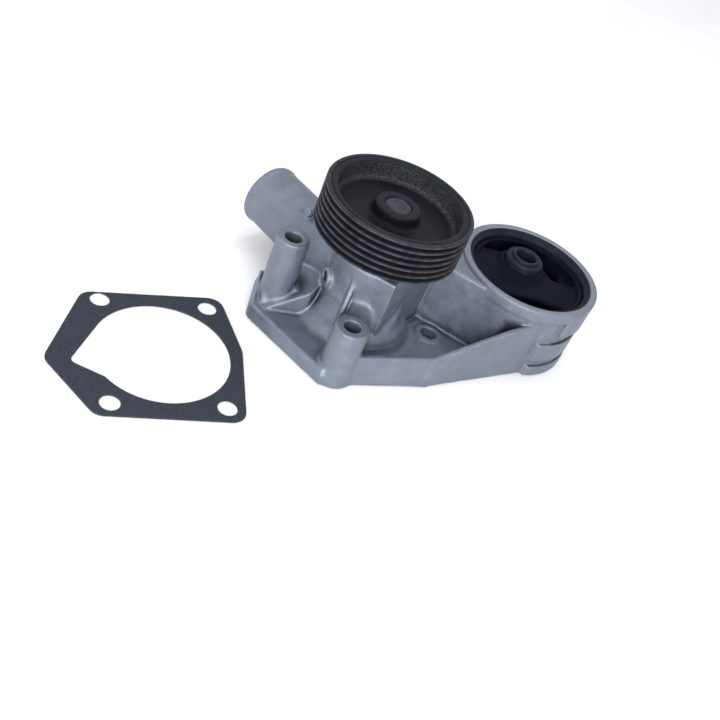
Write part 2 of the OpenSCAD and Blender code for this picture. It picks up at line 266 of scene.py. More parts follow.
class Field:
    """A block of cells that shapes are added to and cut from."""

    def __init__(self, low, high, step):
        self.low = np.array(low, float) - 3 * step
        self.step = step
        count = np.ceil((np.array(high) - self.low) / step).astype(int) + 4
        self.axes = [self.low[i] + step * np.arange(count[i]) for i in range(3)]
        self.d = np.full(count, FAR, np.float32)

    def window(self, shape, margin):
        first = [np.searchsorted(self.axes[i], shape.low[i] - margin) for i in range(3)]
        last = [np.searchsorted(self.axes[i], shape.high[i] + margin) for i in range(3)]
        cells = tuple(slice(f, e) for f, e in zip(first, last))
        x, y, z = (self.axes[i][cells[i]] for i in range(3))
        return cells, x[:, None, None], y[None, :, None], z[None, None, :]

    def add(self, shape, blend=2.0):
        cells, x, y, z = self.window(shape, blend + 5)
        self.d[cells] = soft_min(self.d[cells], shape.distance(x, y, z), blend)

    def cut(self, shape, blend=0.5):
        cells, x, y, z = self.window(shape, blend + 5)
        self.d[cells] = soft_max(self.d[cells], -shape.distance(x, y, z), blend)

    def roughen(self, rng, size, depth):
        """Wears the surface away by up to depth, unevenly, in patches of about size."""
        count = [max(int(np.ptp(a) / size) + 3, 4) for a in self.axes]
        coarse = rng.random(count)
        for i, a in enumerate(self.axes):
            at = np.linspace(0, count[i] - 1.001, len(a))
            whole = at.astype(int)
            part = (at - whole).reshape([-1 if j == i else 1 for j in range(3)])
            part = part * part * (3 - 2 * part)
            coarse = (np.take(coarse, whole, i) * (1 - part)
                      + np.take(coarse, whole + 1, i) * part)
        self.d += (coarse * depth).astype(np.float32)

    def sample(self, points):
        """Distance at each point, between the cells."""
        at = (points - self.low) / self.step
        top = np.array(self.d.shape) - 1.001
        at = np.clip(at, 0, top)
        i = at.astype(int)
        f = at - i
        total = 0
        for corner in range(8):
            k = [(corner >> axis) & 1 for axis in range(3)]
            weight = np.prod([f[:, a] if k[a] else 1 - f[:, a] for a in range(3)], axis=0)
            total = total + weight * self.d[i[:, 0] + k[0], i[:, 1] + k[1], i[:, 2] + k[2]]
        return total

    def slope(self, points):
        """Unit outward direction at each point."""
        h = self.step
        g = np.stack([self.sample(points + h * axis) - self.sample(points - h * axis)
                      for axis in np.eye(3)], axis=1)
        return g / np.maximum(np.linalg.norm(g, axis=1, keepdims=True), 1e-9)

    def mesh(self, name, reach=4.0):
        """Object of the zero surface, with cavity and edge values on its points."""
        grid = openvdb.FloatGrid(self.step)
        grid.copyFromArray(self.d)
        points, quads = grid.convertToQuads(isovalue=0.0)
        points = np.asarray(points, float) * self.step + self.low
        for _ in range(2):
            points -= self.slope(points) * np.clip(self.sample(points), -0.3, 0.3)[:, None]
        normal = self.slope(points)
        obj = object_from(name, points, np.asarray(quads)[:, ::-1])
        # cavity is high in corners, crevices and holes; the aluminium darkens there as painted
        # shade.
        cavity = 1 - np.clip(self.sample(points + normal * reach) / reach, 0, 1)
        # edge is high on sharp convex edges; the aluminium lightens there as a painted highlight.
        edge = 1 - np.clip(-self.sample(points - normal * EDGE_DEPTH) / EDGE_DEPTH, 0, 1)
        point_value(obj, "cavity", cavity)
        point_value(obj, "edge", edge)
        return obj, points, normal


# ---------------------------------------------------------------- mesh helpers

def object_from(name, points_mm, faces):
    """A smooth-shaded object from points in millimetres and an array of faces of one size."""
    faces = np.asarray(faces, np.int32)
    mesh = bpy.data.meshes.new(name)
    mesh.vertices.add(len(points_mm))
    mesh.vertices.foreach_set("co", (np.asarray(points_mm) * MM).astype(np.float32).ravel())
    sides = faces.shape[1]
    mesh.loops.add(faces.size)
    mesh.loops.foreach_set("vertex_index", faces.ravel())
    mesh.polygons.add(len(faces))
    mesh.polygons.foreach_set("loop_start", np.arange(0, faces.size, sides, dtype=np.int32))
    mesh.polygons.foreach_set("use_smooth", np.ones(len(faces), bool))
    mesh.update(calc_edges=True)
    mesh.validate()
    obj = bpy.data.objects.new(name, mesh)
    bpy.context.scene.collection.objects.link(obj)
    return obj


def point_value(obj, name, values):
    layer = obj.data.attributes.new(name, "FLOAT", "POINT")
    layer.data.foreach_set("value", np.asarray(values, np.float32))


def arc(cx, cz, r, start, end, count):
    """Points on an arc, with angles in degrees."""
    angles = np.radians(np.linspace(start, end, count))
    return [(cx + r * math.cos(a), cz + r * math.sin(a)) for a in angles]


def refined(profile, longest):
    """The closed profile with extra points, so that no stretch is longer than longest."""
    points = []
    for (ar, az), (br, bz) in zip(profile, profile[1:] + profile[:1]):
        parts = max(1, math.ceil(math.hypot(br - ar, bz - az) / longest))
        for k in range(parts):
            points.append((ar + (br - ar) * k / parts, az + (bz - az) * k / parts))
    return points


def lathe(name, profile, at=(0, 0), segments=256, longest=1.2):
    """Turns a closed profile of (radius, height) points about a vertical axis."""
    profile = np.array(refined(profile, longest))
    angles = np.linspace(0, 2 * math.pi, segments, endpoint=False)
    rows, n = len(profile), segments
    x = at[0] + np.outer(np.cos(angles), profile[:, 0])
    y = at[1] + np.outer(np.sin(angles), profile[:, 0])
    z = np.tile(profile[:, 1], (n, 1))
    points = np.stack([x, y, z], axis=2).reshape(-1, 3)
    i, j = np.meshgrid(np.arange(n), np.arange(rows), indexing="ij")
    next_i, next_j = (i + 1) % n, (j + 1) % rows
    faces = np.stack([i * rows + j, next_i * rows + j, next_i * rows + next_j, i * rows + next_j],
                     axis=2)
    area = 0.5 * np.sum(profile[:, 0] * np.roll(profile[:, 1], -1)
                        - np.roll(profile[:, 0], -1) * profile[:, 1])
    faces = faces.reshape(-1, 4)
    if area < 0:
        faces = faces[:, ::-1]
    return object_from(name, points, faces), points


# ---------------------------------------------------------------- the housing

def flange(field):
    outline = [(-47, -28), (-43, -34), (-28, -50), CORNER_A, (29, -46.5), CORNER_B,
               (52, 4), CORNER_C, (56, 20), (36, 44), (-34, 44), (-42, 36)]
    field.add(prism(outline, 0, FLOOR_H, 1.0), 0)
    field.add(prism([CORNER_C, (67, 66), (60, 66), (20, 42), (30, 20)], 0, FLOOR_H, 1.0), 1)
    left = [(-47, -28), (-43, -34), (-28, -50), CORNER_A, (29, -46.5), (26, -30), (-8, -26),
            (-30, -10), (-44, -5)]
    field.add(prism(left, 0, FLANGE_H, 1.8), 2)
    far_side = [(-44, -5), (-30, -10), (-22, 20), (-10, 44), (-34, 44), (-42, 36)]
    field.add(prism(far_side, 0, FLANGE_H, 1.8), 2)


def neck(field):
    field.add(post((0, 0), NECK_R + 0.8, 0, BLOCK_H, NECK_R - 0.2, 1.5), 4)
    field.add(post((0, 0), FLARE_R, 0, FLARE_H, NECK_R - 0.8, 1.5), 7)
    field.add(post((0, 0), CHAMBER_R + 2.5, 0, 13.5, soft=5), 7)
    field.add(post((0, 0), NECK_R - 1.2, BLOCK_H - 2, NECK_TOP, NECK_R - 1.6, 0.8), 1)
    panel = [(2.9, -20.5), (24.5, -10), (DECK_FROM[0] + 3, DECK_FROM[1] + 2), (-8, 30), (-18, 8)]
    field.add(prism(panel, 0, BLOCK_H, 1.1, draft=0.006), 0.6)


def weep_rib(field):
    """Boss round the weep hole, and the solid wedge from corner A up to it."""
    boss_end = along((0, 0), WEEP_DIR, NECK_R + 3)
    boss_from = along((0, 0), WEEP_DIR, NECK_R - 8)
    field.add(rod((*boss_from, WEEP_Z), (*boss_end, WEEP_Z), WEEP_BOSS_R, WEEP_BOSS_R - 0.8, 1.4),
              1.6)
    foot, head = np.array([-22.5, -46.5]), np.array([-11.0, -21.0])
    foot_z, rise = 9.0, 17.0
    ledge_from, ledge_slope = 1.2, 1.33
    run = np.linalg.norm(head - foot)
    u = (head - foot) / run

    def top(x, y):
        ahead = (x - foot[0]) * u[0] + (y - foot[1]) * u[1]
        behind = -(x - foot[0]) * u[1] + (y - foot[1]) * u[0]
        line = foot_z + rise * ahead / run
        ledge = np.minimum(line + ledge_slope * np.maximum(behind - ledge_from, 0), LEDGE_H)
        return np.maximum(line, ledge)

    wedge = [(-19.6, -47.5), (-7.6, -28), (-8.6, -20), (-18, -12), (-40, -16), (-42, -28),
             (-36.5, -35.5), (-26.5, -46.5)]
    field.add(prism(wedge, 0, top, 1.2, draft=0.09), 1.2)


def posts(field):
    """Four bolt posts, with the tall one's square back and the strip along the flange's edge."""
    field.add(post(TALL_AT, POST_R + 0.5, 0, TALL_H + 1, POST_R, 1.2), 3)
    x, y = TALL_AT
    side = 6.5
    square = [(x, y), (x + side, y), (x + side, y + side), (x, y + side)]
    field.add(prism(square, 0, TALL_H, 1.2), 0.8)
    strip = [(-42.6, -34), (-27.3, -50), (-24.9, -47.7), (-39.5, -33)]
    strip_from_x, strip_low, strip_high, strip_slope = -27.0, 9.3, 15.5, 0.5

    def strip_top(x, y):
        return np.minimum(strip_low + strip_slope * (strip_from_x - x), strip_high)

    field.add(prism(strip, 0, strip_top, 1.4), 0.6)
    field.add(post(MIDDLE_AT, POST_R + 0.4, 0, MIDDLE_H + 1, POST_R, 1.2), 2.5)
    skirt_foot = (27.6, -35.6, 0)
    field.add(rod(skirt_foot, (*MIDDLE_AT, MIDDLE_H), POST_R + 0.9, POST_R, 1.0), 2)
    field.add(post(LOW_AT, 8.4, 0, LOW_H + 1, 7.6, 0.8), 1.5)
    field.add(post(HIDDEN_AT, POST_R + 0.4, 0, MIDDLE_H + 1, POST_R, 1.2), 2.5)


def middle_web(field):
    """Round-topped web between the panel and the middle post, and the pointed fin beside it."""
    back, front = along(WEB_FROM, WEB_DIR, -6), along(WEB_FROM, WEB_DIR, 19)
    crown = rod((*back, WEB_BACK_Z), (*front, WEB_FRONT_Z), WEB_R)
    below = wall(along(back, WEB_DIR, 0, -WEB_R), along(front, WEB_DIR, 0, -WEB_R), 2 * WEB_R,
                 24, 20, 0, 1.0)
    field.add(together(crown, below), 5)
    fin, fin_end = along(FIN_FROM, WEB_DIR, -2), along(FIN_FROM, WEB_DIR, 8)
    field.add(wall(fin, fin_end, 3.2, 47, 26, 0, 1.3), 0.6)
    dent_beside_fin = rod((4.1, -20.9, 43), (6.0, -27.6, 22), 0.9, 3.0, 0.9)
    field.cut(dent_beside_fin, 1.0)
    groove_on_panel = rod((25.6, -5, 20), (21.3, 14, 31), 2.6, soft=2.5)
    field.cut(groove_on_panel, 2.0)


def inlet(field):
    end = PIPE_END + 0.3
    field.add(rod((end, PIPE_Y, PIPE_Z), (-4, PIPE_Y, PIPE_Z), PIPE_R, soft=1.0), 3.5)
    field.add(rod((end, PIPE_Y, PIPE_Z), (end + 3.5, PIPE_Y, PIPE_Z), PIPE_R + 0.5, soft=1.6), 0.8)
    gusset = [(-49, -8), (-44, -22), (-22, -22), (-12, -10), (-12, 14), (-46, 14)]
    field.add(prism(gusset, 0, PIPE_Z - 6, 1.5), 7)
    boss_z = PIPE_Z + PIPE_R - 0.2
    field.add(rod((PIPE_BOSS_X, -9, boss_z), (PIPE_BOSS_X, 12, boss_z), 3.2), 0.8)


def arm(field):
    far = along(DECK_FROM, DECK_DIR, DECK_LEN)
    outline = [DECK_FROM, far, (EYE_X + 20, EYE_Y - 24), (EYE_X, EYE_Y), (0, 100), (-14, 62),
               (-16, 20), (0, 10)]
    field.add(prism(outline, 0, EYE_H - 2, 1.2), 1.6)
    field.add(post((EYE_X, EYE_Y), EYE_R - 3.4, 0, EYE_H - 4, soft=1.5), 1.5)
    barrel = post((EYE_X, EYE_Y), EYE_R - 0.7, 0, EYE_H - 1, soft=1.2)
    wall_dir = math.atan2(EYE_TOUCH[1] - CORNER_C[1], EYE_TOUCH[0] - CORNER_C[0])
    wall_x, wall_y = math.cos(wall_dir), math.sin(wall_dir)

    def front_of_barrel(x, y, z):
        past_wall = (x - CORNER_C[0]) * wall_y - (y - CORNER_C[1]) * wall_x + 0.8
        inside = soft_max(barrel.distance(x, y, z), past_wall, 1.0)
        return soft_max(inside, y - (EYE_Y - 12), 1.0)

    field.add(Shape(barrel.low, barrel.high, front_of_barrel), 0.8)
    field.add(post((EYE_X, EYE_Y), EYE_R - 0.4, EYE_H - 7, EYE_H + 1, soft=1.4), 1)
    for z0, height, r, start in EYE_PADS:
        ring = post((EYE_X, EYE_Y), r, z0, z0 + height, soft=0.7)
        right_side = prism([(EYE_X, EYE_Y + start), (EYE_X + 60, EYE_Y + start),
                            (EYE_X + 60, EYE_Y + 42), (EYE_X, EYE_Y + 42)], z0, z0 + height, 0)
        field.add(overlap(ring, right_side, 0.9), 0.3)


def front_wall(field):
    field.add(wall((33.5, -37.5), (54.8, 9.8), WALL_T, WALL_H, WALL_H, soft=1.1), 1)
    field.add(wall((53.5, 6), EYE_TOUCH, WALL_T, WALL_H - 0.5, EYE_WALL_H + 1.5, soft=1.1), 0.3)


def machine(field):
    """Every face and hole that a tool has cut."""
    for at, top in ((TALL_AT, TALL_H), (MIDDLE_AT, MIDDLE_H), (HIDDEN_AT, MIDDLE_H)):
        field.cut(post(at, POST_R + 4, top, top + 20, soft=0), 0.3)
    field.cut(post(LOW_AT, 9.4, LOW_H, LOW_H + 20, soft=0), 0.4)
    for at in (TALL_AT, MIDDLE_AT, LOW_AT, HIDDEN_AT):
        field.cut(post(at, BOLT_R, -5, TALL_H + 12, soft=0), 0.6)
    field.cut(post((0, 0), RACE_R, 25, NECK_TOP + 10, soft=0), 0.5)
    field.cut(post((0, 0), MOUTH_R, -6, MOUTH_DEEP, soft=0.4), 0.4)
    field.cut(prism([(26, -16), (44, 9), (8, 31), (0, 0)], -6, 2.8, 0.4), 0.4)
    field.cut(post((0, 0), CHAMBER_R, -6, 12, soft=0.4), 0.4)
    field.cut(post((0, 0), THROAT_R, -6, SUCTION_TOP, soft=0.4), 0.4)
    field.cut(rod((PIPE_END - 5, PIPE_Y, PIPE_Z), (-27, PIPE_Y, PIPE_Z), PIPE_BORE_R, soft=1), 0.8)
    field.cut(rod((-60, PIPE_Y, PORT_Z), (-12, PIPE_Y, PORT_Z), PORT_R, soft=0.5), 0.8)
    hole_from = along((0, 0), WEEP_DIR, 11)
    hole_to = along((0, 0), WEEP_DIR, 32)
    field.cut(rod((*hole_from, WEEP_Z + 1.9), (*hole_to, WEEP_Z - 0.1), WEEP_R), 0.2)
    field.cut(post((EYE_X, EYE_Y), EYE_R + 6, EYE_H, EYE_H + 12, soft=0), 0.5)
    field.cut(post((EYE_X, EYE_Y), EYE_BORE_R, -5, EYE_H + 10, soft=0), 0.4)
    field.cut(post((EYE_X, EYE_Y), EYE_BORE_R - 1, EYE_H - 2.5, EYE_H + 2, EYE_BORE_R + 3.5,
                   soft=0), 0.3)
    below_face = Shape((-200, -200, -20), (200, 200, 0), lambda x, y, z: z)
    field.cut(below_face, 0)


def cored(field):
    """Rough cored hollows of the casting."""
    field.cut(post(MIDDLE_AT, 11, MIDDLE_H, MIDDLE_H + 40), 0.8)
    for pocket in (0, 1):
        a = along((DECK_FROM[0] + 3 + pocket * 20, DECK_FROM[1] + 9 + pocket * 5), DECK_DIR, 0)
        b = along(a, DECK_DIR, 15)
        field.cut(prism([a, b, along(b, DECK_DIR, 0, 10), along(a, DECK_DIR, 0, 10)],
                        -6, EYE_H - 10, 2), 2)


def near(value, target, width):
    return np.clip(1 - np.abs(value - target) / width, 0, 1)


def housing_piece():
    field = Field(HOUSING_LOW, HOUSING_HIGH, STEP)
    flange(field)
    neck(field)
    inlet(field)
    arm(field)
    weep_rib(field)
    posts(field)
    middle_web(field)
    front_wall(field)
    cored(field)
    rng = np.random.default_rng(11)
    field.roughen(rng, 9.0, 0.22)
    field.roughen(rng, 3.0, 0.12)
    machine(field)
    # A reach of 6.5 mm spans the bolt holes, so their insides get the painted shade as well.
    obj, points, normal = field.mesh("housing_casting", reach=6.5)
    x, y, z = points.T
    r_neck = np.hypot(x, y)
    r_eye = np.hypot(x - EYE_X, y - EYE_Y)
    up = normal[:, 2] > 0.9
    cut = near(z, NECK_TOP, 0.5) * up * (r_neck < NECK_R)
    cut = np.maximum(cut, near(z, EYE_H, 0.6) * up * (r_eye < EYE_R + 2))
    for at, top in ((TALL_AT, TALL_H), (MIDDLE_AT, MIDDLE_H), (LOW_AT, LOW_H),
                    (HIDDEN_AT, MIDDLE_H)):
        r_post = np.hypot(x - at[0], y - at[1])
        cut = np.maximum(cut, near(z, top, 0.5) * up * (r_post < 9.6))
        cut = np.maximum(cut, near(r_post, BOLT_R, 0.8))
    cut = np.maximum(cut, near(r_eye, EYE_BORE_R, 1.0))
    cut = np.maximum(cut, (normal[:, 2] < -0.9) * near(z, 0, 0.5))
    point_value(obj, "machined", cut)
    return obj


# ---------------------------------------------------------------- turned pieces

def pulley_profile():
    """Cross-section of the belt pulley, from its bore round the rim and back."""
    top, low, r = PULLEY_HIGH[2], PULLEY_LOW[2], PULLEY_R
    floor_top, floor_low = top - 10.5, top - 20
    bore, hub, inner = 7.0, 12.0, 32.0
    hub_top = top - 4
    pitch, deep, first = 3.56, 2.6, 2.6
    points = [(bore, floor_low), (bore, hub_top - 0.4), (bore + 0.4, hub_top)]
    points += arc(hub - 1.2, hub_top - 1.2, 1.2, 90, 0, 5)
    points += arc(hub + 2.4, floor_top + 2.4, 2.4, 180, 270, 8)
    points += arc(inner - 3.0, floor_top + 3.0, 3.0, 270, 352, 8)
    points += arc(inner + 1.4, top - 1.6, 1.2, 165, 90, 5)
    points += [(r - 2.9, top - 0.35), (r - 2.6, top - 0.9), (r - 2.2, top - 0.15)]
    points += arc(r - 0.8, top - 0.8, 0.8, 90, 0, 5)
    for i in range(6):
        z = top - first - i * pitch
        points += [(r, z + 1.4), (r - 0.25, z + 1.2), (r - deep + 0.3, z + 0.32)]
        points += [(r - deep, z + 0.12), (r - deep, z - 0.12)]
        points += [(r - deep + 0.3, z - 0.32), (r - 0.25, z - 1.2), (r, z - 1.4)]
    points += [(r, low + 0.4), (r - 0.4, low), (inner + 1.2, low), (inner, low + 0.8)]
    points += [(inner - 1, floor_low)]
    return points


def pulley_piece():
    obj, points = lathe("pulley_turned", pulley_profile(), segments=360, longest=0.9)
    r = np.hypot(points[:, 0], points[:, 1])
    z = points[:, 2]
    top = PULLEY_HIGH[2]
    # Rubbed crests of the grooves, which are real, and a band on the top face by the outer edge,
    # which is a painted highlight.
    rim_rub_and_highlight = np.clip((r - (PULLEY_R - 0.5)) / 0.4, 0, 1)
    rim_rub_and_highlight = np.maximum(rim_rub_and_highlight, near(z, top, 0.35) * near(r, PULLEY_R - 1.2, 1.2))
    cast = np.clip((z - (top - 14)) / 2, 0, 1) * near(r, 31.5, 1.6) * (z < top - 1.2)
    point_value(obj, "rim_rub_and_highlight", rim_rub_and_highlight)
    point_value(obj, "cast", cast)
    return obj


def core_piece():
    """Metal core of the mount: a plain round body with its top edge rounded."""
    low, high = CORE_LOW[2], CORE_HIGH[2]
    sleeve = corners_mm("mount_inner_sleeve")[1][0] - CORE_X
    profile = [(sleeve, low), (sleeve, high)]
    profile += arc(CORE_R - 1.5, high - 1.5, 1.5, 90, 0, 6)
    profile += [(CORE_R, low)]
    return lathe("mount_core_turned", profile, (CORE_X, CORE_Y), 128)[0]


def inner_sleeve_piece():
    low, high = corners_mm("mount_inner_sleeve")
    outer = high[0] - CORE_X
    inner = MOUNTS["mount_bore"]["dims"]["r_mm"]
    profile = [(inner + 0.4, low[2]), (inner, low[2] + 0.4), (inner, high[2] - 0.6)]
    profile += [(inner + 0.6, high[2]), (outer - 0.5, high[2]), (outer, high[2] - 0.5)]
    profile += [(outer, low[2] + 0.4), (outer - 0.4, low[2])]
    return lathe("mount_inner_sleeve_turned", profile, (CORE_X, CORE_Y), 128)[0]


def outer_sleeve_piece():
    low, high = SLEEVE_LOW[2], SLEEVE_HIGH[2]
    inner = EYE_BORE_R - 1.8
    lip = EYE_BORE_R + 1.3
    profile = [(EYE_BORE_R - 0.02, low), (EYE_BORE_R - 0.02, high - 0.6), (lip, EYE_H - 0.5)]
    profile += [(lip - 0.3, EYE_H - 0.15), (EYE_BORE_R - 0.6, high + 0.5), (inner + 0.6, high + 0.3)]
    profile += [(inner, high - 0.4), (inner, low)]
    return lathe("mount_outer_sleeve_turned", profile, (EYE_X, EYE_Y), 256)[0]


def shaft_piece():
    """Shaft end in the pulley's hub, and the plain shaft below it."""
    bearing = corners_mm("shaft")[1][0]
    top, low = SHAFT_TOP, corners_mm("shaft")[0][2]
    profile = [(0.01, low), (5.4, low), (6.0, low + 0.6), (6.0, 37.0), (bearing, 37.6)]
    profile += [(bearing, 64.0), (7.0, 64.6), (7.0, top - 0.7), (6.4, top - 0.1)]
    profile += [(6.0, top), (0.9, top), (0.01, top - 0.5)]
    return lathe("shaft_turned", profile, segments=128)[0]


# ---------------------------------------------------------------- rubber of the mount

def rubber_piece():
    low, high = corners_mm("mount_rubber")
    outer = EYE_BORE_R - 1.85
    field = Field(low, high, 0.6)
    field.add(post((EYE_X, EYE_Y), outer, low[2], high[2], soft=0.8), 0)
    field.cut(post((EYE_X, EYE_Y), outer - 3, low[2] - 5, high[2] + 5, soft=0), 0.8)
    body = [(EYE_X + dx, EYE_Y + dy) for dx, dy in
            ((-29, -16), (-28, -3), (-20, 6), (-14, 14), (-2, 17), (8, 15), (20, 27), (30, 16),
             (32, 4), (14, -10), (2, -30), (-14, -28))]
    field.add(prism(body, low[2] + 1, high[2] - 2.5, 2.5, corner=1.0), 2)
    field.add(post((CORE_X, CORE_Y), CORE_R + 4.5, low[2] + 1, high[2], CORE_R + 2.5, 2), 3)
    stop = [(EYE_X + 2, EYE_Y + 33), (EYE_X + 18, EYE_Y + 30), (EYE_X + 10, EYE_Y + 22)]
    field.add(prism(stop, low[2] + 1, high[2] - 6, 2.0, corner=1.0), 2)
    field.roughen(np.random.default_rng(5), 6.0, 0.15)
    field.cut(post((CORE_X, CORE_Y), CORE_R + 0.08, low[2] - 5, high[2] + 5, soft=0), 0.3)
    return field.mesh("mount_rubber_moulded")[0]


# ---------------------------------------------------------------- the gasket

def rounded(points, radius, steps=7):
    """The polygon with each corner turned into an arc."""
    result = []
    count = len(points)
    for i in range(count):
        before, at, after = (Vector(points[(i + k) % count]) for k in (-1, 0, 1))
        a, b = (before - at).normalized(), (after - at).normalized()
        half = a.angle(b) / 2
        size = min(radius / math.tan(half), 0.45 * min((before - at).length, (after - at).length))
        r = size * math.tan(half)
        middle = at + (a + b).normalized() * (r / math.sin(half))
        start, end = at + a * size - middle, at + b * size - middle
        turn = start.angle_signed(end)
        for k in range(steps):
            step = start.copy()
            step.rotate(Matrix.Rotation(-turn * k / (steps - 1), 2))
            result.append(tuple(middle + step))
    return result


def gasket_piece():
    """Thin sheet in the outline of the mounting face, with its opening and bolt holes."""
    thick = corners_mm("gasket")[1][2]
    outline = [(-35, -43.9), (35.5, -40), (54.2, 6), (54.2, 10), (34, 43), (-35, 43.9),
               (-40.8, -4.3)]
    lip = [(28.6, -17.5), (43.5, 9.5), (3, 33.4)]
    field = Field((-45, -48, 0), (58, 48, 1), 0.5)
    field.add(prism(rounded(outline, 7.5), 0, thick, 0.25), 0)
    field.cut(post((0, 0), MOUTH_R, -4, 5, soft=0), 0.3)
    field.cut(prism([(0, 0), *rounded(lip, 3)], -4, 5, 0), 0.3)
    for at in (TALL_AT, MIDDLE_AT, LOW_AT, HIDDEN_AT):
        field.cut(post(at, BOLT_R + 0.25, -4, 5, soft=0), 0.3)
    obj = field.mesh("gasket_sheet", reach=2.0)[0]
    lay = Matrix.Translation((GASKET_AT[0] * MM, GASKET_AT[1] * MM, 0))
    obj.data.transform(lay @ Matrix.Rotation(GASKET_TURN, 4, "Z"))
    return obj


# ---------------------------------------------------------------- materials

class Shader:
    """A material's node tree, with short calls for the nodes used here."""

    def __init__(self, name):
        self.material = bpy.data.materials.new(name)
        self.material.use_nodes = True
        self.tree = self.material.node_tree
        self.nodes = self.tree.nodes
        self.surface = self.nodes["Principled BSDF"]
        self.coordinates = self.nodes.new("ShaderNodeTexCoord").outputs["Object"]

    def link(self, output, target):
        self.tree.links.new(output, target)

    def value(self, attribute):
        node = self.nodes.new("ShaderNodeAttribute")
        node.attribute_name = attribute
        return node.outputs["Fac"]

    def math(self, operation, a, b=0.0, clamp=False):
        node = self.nodes.new("ShaderNodeMath")
        node.operation = operation
        node.use_clamp = clamp
        for socket, source in zip(node.inputs, (a, b)):
            if isinstance(source, (int, float)):
                socket.default_value = source
            else:
                self.link(source, socket)
        return node.outputs[0]

    def noise(self, size_mm, detail=3.0, rough=0.5, vector=None, stretch=None):
        """Noise whose grains are about size_mm across."""
        node = self.nodes.new("ShaderNodeTexNoise")
        node.inputs["Scale"].default_value = 1 / (size_mm * MM)
        node.inputs["Detail"].default_value = detail
        node.inputs["Roughness"].default_value = rough
        vector = vector or self.coordinates
        if stretch:
            mapping = self.nodes.new("ShaderNodeMapping")
            mapping.inputs["Scale"].default_value = stretch
            self.link(vector, mapping.inputs["Vector"])
            vector = mapping.outputs["Vector"]
        self.link(vector, node.inputs["Vector"])
        return node.outputs["Fac"]

    def rings(self, centre):
        """Coordinates of (radius, height, 0) about a vertical axis, for lathe marks."""
        shift = self.nodes.new("ShaderNodeVectorMath")
        shift.operation = "SUBTRACT"
        shift.inputs[1].default_value = (centre[0] * MM, centre[1] * MM, 0)
        self.link(self.coordinates, shift.inputs[0])
        parts = self.nodes.new("ShaderNodeSeparateXYZ")
        self.link(shift.outputs[0], parts.inputs[0])
        square = self.math("ADD", self.math("POWER", self.math("ABSOLUTE", parts.outputs[0]), 2.0),
                           self.math("POWER", self.math("ABSOLUTE", parts.outputs[1]), 2.0))
        joined = self.nodes.new("ShaderNodeCombineXYZ")
        self.link(self.math("SQRT", square), joined.inputs[0])
        self.link(parts.outputs[2], joined.inputs[1])
        return joined.outputs[0]

    def ramp(self, source, stops):
        """Colour ramp. stops are (position, colour) pairs."""
        node = self.nodes.new("ShaderNodeValToRGB")
        elements = node.color_ramp.elements
        while len(elements) < len(stops):
            elements.new(0.5)
        for element, (position, colour) in zip(elements, stops):
            element.position = position
            element.color = (*colour, 1)
        self.link(source, node.inputs[0])
        return node.outputs["Color"]

    def spread(self, source, low, high, out_low, out_high):
        node = self.nodes.new("ShaderNodeMapRange")
        for name, number in zip(("From Min", "From Max", "To Min", "To Max"),
                                (low, high, out_low, out_high)):
            node.inputs[name].default_value = number
        self.link(source, node.inputs["Value"])
        return node.outputs["Result"]

    def mix(self, factor, a, b, blend="MIX"):
        node = self.nodes.new("ShaderNodeMix")
        node.data_type = "RGBA"
        node.blend_type = blend
        for socket, source in ((node.inputs[0], factor), (node.inputs[6], a), (node.inputs[7], b)):
            if isinstance(source, tuple):
                socket.default_value = (*source, 1)
            elif isinstance(source, (int, float)):
                socket.default_value = source
            else:
                self.link(source, socket)
        return node.outputs[2]

    def bump(self, height, strength, distance_mm, below=None):
        node = self.nodes.new("ShaderNodeBump")
        node.inputs["Strength"].default_value = strength
        node.inputs["Distance"].default_value = distance_mm * MM
        self.link(height, node.inputs["Height"])
        if below:
            self.link(below, node.inputs["Normal"])
        return node.outputs["Normal"]

    def finish(self, colour, roughness, normal, metallic=0.0, specular=0.5, tint=(1, 1, 1)):
        self.link(colour, self.surface.inputs["Base Color"])
        self.link(roughness, self.surface.inputs["Roughness"])
        self.link(normal, self.surface.inputs["Normal"])
        self.surface.inputs["Metallic"].default_value = metallic
        self.surface.inputs["Specular IOR Level"].default_value = specular
        self.surface.inputs["Specular Tint"].default_value = (*tint, 1)
        return self.material


def cast_aluminium():
    """Die-cast aluminium: fine grain, cloudy tone, painted shade in corners and hollows, painted
    highlight on sharp edges, brighter cut faces.
    """
    s = Shader("cast_aluminium")
    grain = s.noise(0.9, 4, 0.6)
    cloud = s.noise(7, 3)
    broad = s.noise(34, 2)
    tone = s.math("ADD", s.math("MULTIPLY", cloud, 0.55), s.math("MULTIPLY", broad, 0.45))
    colour = s.ramp(tone, [(0.30, (0.138, 0.157, 0.196)), (0.52, (0.168, 0.190, 0.234)),
                           (0.72, (0.200, 0.225, 0.272))])
    speck = s.spread(grain, 0.25, 0.75, 0.86, 1.10)
    colour = s.mix(1.0, colour, speck, "MULTIPLY")
    # Painted highlight: sharp edges and lips are lightened towards a pale grey.
    painted_edge_highlight = s.spread(s.value("edge"), 0.25, 0.85, 0.0, 0.7)
    colour = s.mix(painted_edge_highlight, colour, (0.48, 0.53, 0.60))
    cut = s.value("machined")
    colour = s.mix(s.math("MULTIPLY", cut, 0.6), colour, (0.19, 0.212, 0.25))
    # Painted shade: colour is darkened down to a quarter where the cavity value is high.
    deep = s.spread(s.value("cavity"), 0.4, 0.95, 1.0, 0.25)
    colour = s.mix(1.0, colour, deep, "MULTIPLY")
    roughness = s.spread(cloud, 0.3, 0.7, 0.44, 0.58)
    height = s.math("ADD", grain, s.math("MULTIPLY", s.noise(2.6, 3), 1.6))
    keep = s.spread(cut, 0, 1, 1, 0.25)
    normal = s.bump(s.math("MULTIPLY", height, keep), 0.55, 0.12)
    return s.finish(colour, roughness, normal, metallic=0.55)


